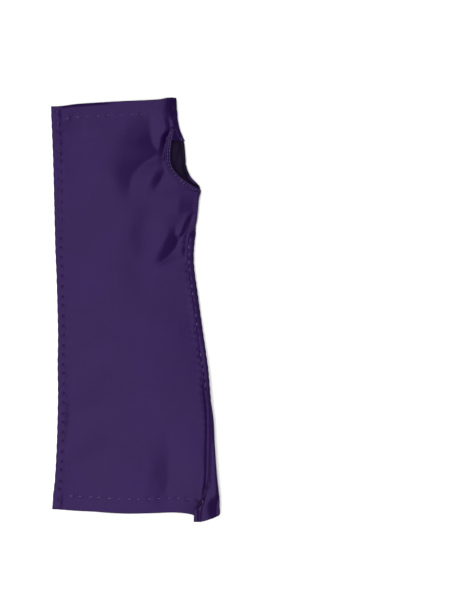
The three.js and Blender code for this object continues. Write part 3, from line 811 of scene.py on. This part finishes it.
# The counts of points across and along each panel are fine enough for its folds and stitch dents
back_cloth = panel(
    "back_cloth", back_surface, crowded(100, 0.5), 330, (back_cuff_edge, finger_edge), 1,
    (hole_line(*BACK_CUT_STOPS), 0.5), ("back_panel", "back_cuff_hem", "back_finger_hem"),
)
palm_cloth = panel(
    "palm_cloth", palm_surface, crowded(76, 0.3), 300, (palm_cuff_edge, palm_finger_edge), -1,
    (hole_line(*PALM_CUT_STOPS), PALM_SIDE_SHARE), ("palm_panel", "palm_cuff_hem", "palm_finger_hem"),
)


def loft(sections, ring_closed):
    """Faces and points of a closed body from equal sections."""
    count, size = sections.shape[:2]
    faces = []
    spans = count if ring_closed else count - 1
    for row in range(spans):
        here, after = row * size, (row + 1) % count * size
        for i in range(size):
            j = (i + 1) % size
            faces.append((here + i, here + j, after + j, after + i))
    place = sections.reshape(-1, 3)
    if not ring_closed:
        faces.append(tuple(range(size))[::-1])
        faces.append(tuple(range((count - 1) * size, count * size)))
    return place, faces


def flange_section(width, half, pinch, ledge):
    """Outline of a pressed seam edge: distance from the stitch line, and height."""

    def layer(end):
        """One face of it, thinner at the root and drawn in along the stitches."""
        inner = min(2.0, 0.7 * end)
        flat = np.concatenate([[-0.8, -0.4], np.linspace(0, inner, 8), np.linspace(inner, end, 6)[1:]])
        root = 1 - 0.5 * np.clip((-flat - 0.3) / 0.5, 0, 1)
        return flat, half * root * (1 - pinch * np.exp(-(((flat - STITCH_OUT) / 0.9) ** 2)))

    if ledge == 0:
        turn = np.radians(np.linspace(90, -90, 9)[1:-1])
        flat, thick = layer(width - half)
        far = np.concatenate([flat, width - half + half * np.cos(turn), flat[::-1]])
        high = np.concatenate([thick, half * np.sin(turn), -thick[::-1]])
        return far, high
    step, rim = 0.3, 0.45 * half  # roundness of the upper allowance's edge and of the lower one's
    down, turn = np.radians(np.linspace(90, 0, 5)[1:]), np.radians(np.linspace(90, -90, 7))
    upper, upper_thick = layer(width - ledge - step)
    lower, lower_thick = layer(width - rim)
    far = np.concatenate([
        upper, upper[-1] + step * np.cos(down), width - rim + rim * np.cos(turn), lower[::-1][1:],
    ])
    high = np.concatenate([
        upper_thick, half * (1.1 * np.sin(down) - 0.1), rim - half + rim * np.sin(turn),
        -lower_thick[::-1][1:],
    ])
    return far, high


def seam_edge(name, line, ys, widths, grooves, direction, stops, ledge, replaced):
    """A pressed seam edge that is drawn in at each stitch and curves over where it leans."""
    sections = []
    for y, width, groove in zip(ys, widths, grooves):
        x, z, tilt, lift = line(y)
        turn = math.radians(tilt)
        closeness = np.exp(-(((stops - y) / 1.3) ** 2)).sum()
        phase = np.interp(y, stops, np.arange(len(stops)))
        puff = FLANGE_PUFF * math.cos(2 * math.pi * phase)
        pinch = groove + FLANGE_DRAW * closeness * (1 - groove)
        size = width + lift - puff * 2.4
        far, high = flange_section(size, FLANGE_HALF - puff, pinch, ledge)
        bend = 0.5 * size * math.tan(math.radians(np.clip(tilt, 0, 45))) * (1 - smooth(tilt, 45, 75))
        high = high - bend * np.clip(far / size, 0, 1) ** 2
        out = (direction * math.cos(turn), math.sin(turn))
        up = (-direction * math.sin(turn), math.cos(turn))
        sections.append(points(x + out[0] * far + up[0] * high, y, z + out[1] * far + up[1] * high))
    place, faces = loft(np.array(sections), False)
    if direction > 0:
        faces = [face[::-1] for face in faces]
    return add_piece(name, place, faces, [right_side], replaced)


def outer_line(y):
    """x and height of the outer seam's line, the tilt of its edge, and how much wider it is there."""
    return outer_x(y), OUTER_SEAM_HEIGHT, 0, 0


def thumb_line(y):
    """The same for the thumb seam."""
    tilt = float(flange_tilt(y))
    lift = THUMB_FLANGE_LIFT * max(math.sin(math.radians(tilt)), 0)
    return seam_x(y), seam_z(y), tilt, lift


def thumb_flange_width(y):
    """Trimmed narrower where it turns under the cloth, narrow along the twist and wide at the tab."""
    width = mix(THUMB_FLANGE_WIDTH, TRIMMED_FLANGE_WIDTH, smooth(y, 59, 68))
    width = mix(width, TWISTED_FLANGE_WIDTH, smooth(-y, 30, 88))
    return mix(width, FOLDED_FLANGE_WIDTH, smooth(-y, 153, 160))


def thumb_groove(y):
    """How deep the stitch line is drawn in between the stitches: more towards the cuff."""
    return GROOVE_DEPTH * smooth(-y, 16, 52)


outer_ys = np.linspace(back_cuff_edge(0), finger_edge(0) + 0.2, 400)
outer_edge = seam_edge(
    "outer_seam_edge", outer_line, outer_ys, np.full(400, OUTER_FLANGE_WIDTH), np.zeros(400),
    -1, OUTER_STOPS, 0, ("outer_seam",),
)
hole_low = (ring["edge"][:, 1] + ring["away"][:, 1] * ring["width"]).min()
lower_ys = np.linspace(palm_cuff_edge(1), hole_low + 0.3, 330)
thumb_edge_lower = seam_edge(
    "thumb_seam_edge_lower", thumb_line, lower_ys, thumb_flange_width(lower_ys), thumb_groove(lower_ys),
    1, THUMB_STOPS, LEDGE, ("thumb_seam_lower",),
)
upper_ys = np.linspace(HOLE_TOP, finger_edge(1), 42)
thumb_edge_upper = seam_edge(
    "thumb_seam_edge_upper", thumb_line, upper_ys, np.full(42, UPPER_FLANGE_WIDTH), np.zeros(42),
    1, UPPER_STOPS, 0, ("thumb_seam_upper",),
)


def binding():
    """The folded band round the thumb hole, with its two rows of stitching sunk into it."""
    share = np.concatenate([np.linspace(0, 0.12, 5), np.linspace(0.16, 0.88, 19), np.linspace(0.92, 1, 3)])
    groove = BAND_GROOVE * sum(np.exp(-(((share - lane) / 0.055) ** 2)) for lane in BAND_LANES)
    round_edge = np.sqrt(np.clip(1 - (1 - np.clip(share / 0.12, 0, 1)) ** 2, 0, 1))
    thin_end = 1 - 0.45 * smooth(share, 0.84, 1.0)
    top = BAND_HALF * round_edge * thin_end - groove
    under = -BAND_HALF * round_edge * thin_end
    far = np.concatenate([share, share[::-1][:-1]])
    high = np.concatenate([top, under[::-1][:-1]])
    sections = (
        ring["edge"][:, None, :]
        + ring["away"][:, None, :] * (ring["width"][:, None] * far)[..., None]
        + ring["up"][:, None, :] * high[None, :, None]
    )
    place, faces = loft(sections, True)
    return add_piece("thumb_hole_binding", place, faces, [right_side], ("thumb_binding",))


thumb_band = binding()


def facing():
    """The seam allowances at the top of the thumb hole, turned in between the binding and the seam."""
    rows, columns = 14, 12
    across = np.linspace(0, 1, columns)[None, :]
    down = np.linspace(0, 1, rows)[:, None]
    y = mix(FACING_TOP, HOLE_TOP, down)
    under_binding = mix(30.4, 28.4, down)
    x = mix(under_binding, seam_x(y) + 1.2, across)
    ripple = 0.3 * np.sin(5 * across - 7 * down + 1.5)
    curl = 0.9 * smooth(down, 0.85, 1)  # its lower edge is rolled in
    z = mix(5.6, 3.0, across) + ripple - curl
    piece = add_piece(
        "thumb_hole_facing", points(x, y, z).reshape(-1, 3), grid_faces(rows, columns, -1),
        [right_side, shaded_wrong_side],
    )
    thicken(piece)
    return piece


hole_facing = facing()


def stitch(start, end, up, radius, sink, steps=7):
    """One stitch: a short bowed thread, six-sided, whose ends go down into the cloth."""
    start, end, up = (np.array(value, float) for value in (start, end, up))
    along = end - start
    length = np.linalg.norm(along)
    along /= length
    side = np.cross(along, up)
    side /= np.linalg.norm(side)
    up = np.cross(side, along)
    t = np.linspace(0, 1, steps)
    height = -sink * (2 * t - 1) ** 6
    centre = start + along * (t * length)[:, None] + up * height[:, None]
    turn = np.linspace(0, 2 * np.pi, 6, endpoint=False)
    around = side * np.cos(turn)[:, None] + up * np.sin(turn)[:, None]
    return centre[:, None, :] + around[None] * radius


def add_stitches(name, rows):
    """All stitches of one line as one piece."""
    places, faces, base = [], [], 0
    for section in rows:
        place, own = loft(section, False)
        places.append(place)
        faces += [tuple(base + i for i in face) for face in own]
        base += len(place)
    return add_piece(name, np.concatenate(places), faces, [thread])


def hem_stitches(name, surface, outward, stops, edge, depth, side, radius, proud, seed):
    """A row of stitches along a hem, a little uneven in length and slant."""
    random = np.random.default_rng(seed)
    rows = []
    for stop in stops:
        share = 0.5
        for _ in range(6):  # closes in on the place on the slanting edge
            y = float(edge(share)) + side * (depth - HEM_STITCH_INSET)
            share = float(share_at(surface, np.array([float(stop)]), np.array([y]), 0, 1)[0])
        half = HEM_STITCH_LENGTH * random.uniform(0.8, 1.15) / 2
        slant = random.uniform(-0.12, 0.12)
        normal = normals(surface, np.array([share]), np.array([y]))[0] * outward
        along = np.array([math.cos(slant), math.sin(slant), 0.0])
        along -= normal * np.dot(along, normal)
        along /= np.linalg.norm(along)
        middle = surface(np.array(share), np.array(y)) + normal * (CLOTH / 2 + radius * proud)
        rows.append(stitch(middle - along * half, middle + along * half, normal, radius, 0.45))
    return add_stitches(name, rows)


def seam_stitches(name, line, stops, direction, sink, deep_from, seed):
    """Stitches on both faces of a seam edge, sunk into it unevenly."""
    random = np.random.default_rng(seed)
    rows = []
    for y in stops:
        x, z, tilt, _ = line(y)
        turn = math.radians(tilt)
        out = np.array([direction * math.cos(turn), 0, math.sin(turn)])
        up = np.array([-direction * math.sin(turn), 0, math.cos(turn)])
        centre = np.array([float(x), y, float(z)]) + out * STITCH_OUT
        for side in (1, -1):
            size = STITCH_LENGTH * random.uniform(0.75, 1.15)
            sunk = random.uniform(0, sink) + DEEP_SINK * smooth(deep_from - y, 0, 20)
            middle = centre + up * side * (STITCH_HEIGHT - sunk)
            slant = out * random.uniform(-0.25, 0.25)
            half = np.array([0, size / 2, 0]) + slant
            rows.append(stitch(middle - half, middle + half, up * side, SEAM_THREAD, 0.4))
    return add_stitches(name, rows)


outer_stitches = seam_stitches(
    "outer_seam_stitches", outer_line, OUTER_STOPS, -1, STITCH_SINK, OUTER_DEEP_FROM, 21,
)
thumb_stops = np.concatenate([THUMB_STOPS, UPPER_STOPS])
thumb_stops = thumb_stops[(thumb_stops > THUMB_STITCHES_END) | (thumb_stops < TAB_TOP)]
thumb_stitches = seam_stitches(
    "thumb_seam_stitches", thumb_line, thumb_stops, 1, THUMB_STITCH_SINK, THUMB_DEEP_FROM, 22,
)
back_cuff_stitches = hem_stitches(
    "back_cuff_hem_stitches", back_surface, 1, BACK_CUFF_STOPS, back_cuff_edge, CUFF_HEM_DEPTH, 1,
    CUFF_THREAD, 0.35, 23,
)
back_finger_stitches = hem_stitches(
    "back_finger_hem_stitches", back_surface, 1, BACK_FINGER_STOPS, finger_edge, FINGER_HEM_DEPTH, -1,
    FINGER_THREAD, -0.55, 24,
)
palm_cuff_stitches = hem_stitches(
    "palm_cuff_hem_stitches", palm_surface, -1, PALM_CUFF_STOPS, palm_cuff_edge, CUFF_HEM_DEPTH, 1,
    CUFF_THREAD, 0.35, 25,
)
palm_finger_stitches = hem_stitches(
    "palm_finger_hem_stitches", palm_surface, -1, PALM_FINGER_STOPS, palm_finger_edge, FINGER_HEM_DEPTH, -1,
    FINGER_THREAD, -0.4, 26,
)


def binding_stitches():
    """Two rows of small even stitches in the grooves of the thumb hole's binding."""
    rows = []
    pitch = 7  # stops of the ring for each stitch
    for lane in BAND_LANES:
        across = ring["away"] * (ring["width"] * lane)[:, None]
        line = ring["edge"] + across + ring["up"] * (BAND_HALF - 0.2)
        for i in range(0, RING_COUNT - pitch, pitch):
            rows.append(stitch(line[i], line[i + pitch - 2], ring["up"][i], BAND_THREAD, 0.15, steps=5))
    return add_stitches("thumb_binding_stitches", rows)


band_stitches = binding_stitches()


def add_floor():
    """The paper that the glove lies on, 6 m square."""
    side = 3.0
    corners = [(-side, -side, 0), (side, -side, 0), (side, side, 0), (-side, side, 0)]
    mesh = bpy.data.meshes.new("floor")
    mesh.from_pydata(corners, [], [(0, 1, 2, 3)])
    mesh.materials.append(paper_sweep())
    floor = bpy.data.objects.new("floor", mesh)
    bpy.context.scene.collection.objects.link(floor)


def softbox(name, place, target, size, power):
    """A soft rectangular light: metres, and watts."""
    light = bpy.data.lights.new(name, "AREA")
    light.shape = "RECTANGLE"
    light.size, light.size_y = size
    light.energy = power
    lamp = bpy.data.objects.new(name, light)
    bpy.context.scene.collection.objects.link(lamp)
    lamp.location = place
    lamp.visible_camera = False
    direction = Vector(target) - Vector(place)
    lamp.rotation_euler = direction.to_track_quat("-Z", "Y").to_euler()


def studio():
    """Two broad lights overhead, two weak ones low at the sides, and pale walls all round."""
    world = bpy.data.worlds.new("studio")
    world.use_nodes = True
    background = world.node_tree.nodes["Background"]
    background.inputs["Color"].default_value = (1, 1, 1, 1)
    background.inputs["Strength"].default_value = 0.4
    bpy.context.scene.world = world
    softbox("overhead_softbox", (-0.48, 0.8, 1.6), (-0.48, 0.8, 0.0), (1.7, 1.8), 32.6)
    softbox("front_softbox", (-0.48, -0.7, 1.6), (-0.48, -0.7, 0.0), (1.7, 1.2), 25.6)
    softbox("low_softbox", (-1.5, -0.2, 0.7), (0.05, -0.1, 0.0), (0.9, 0.5), 4)
    softbox("side_softbox", (1.5, -0.5, 0.55), (0.05, -0.1, 0.0), (0.7, 0.4), 6)
    bpy.context.scene.view_settings.view_transform = "Standard"


def photograph_camera():
    """Straight down on the flat lay, at the photograph's framing: 0.48 m from top to bottom."""
    lens, sensor, frame_height = 100, 36, 0.48
    camera = bpy.data.cameras.new("camera")
    camera.lens = lens
    camera.sensor_width = sensor
    eye = bpy.data.objects.new("camera", camera)
    bpy.context.scene.collection.objects.link(eye)
    eye.location = (0.0712, 0.0074, frame_height * lens / sensor)
    bpy.context.scene.camera = eye


add_floor()
studio()
photograph_camera()
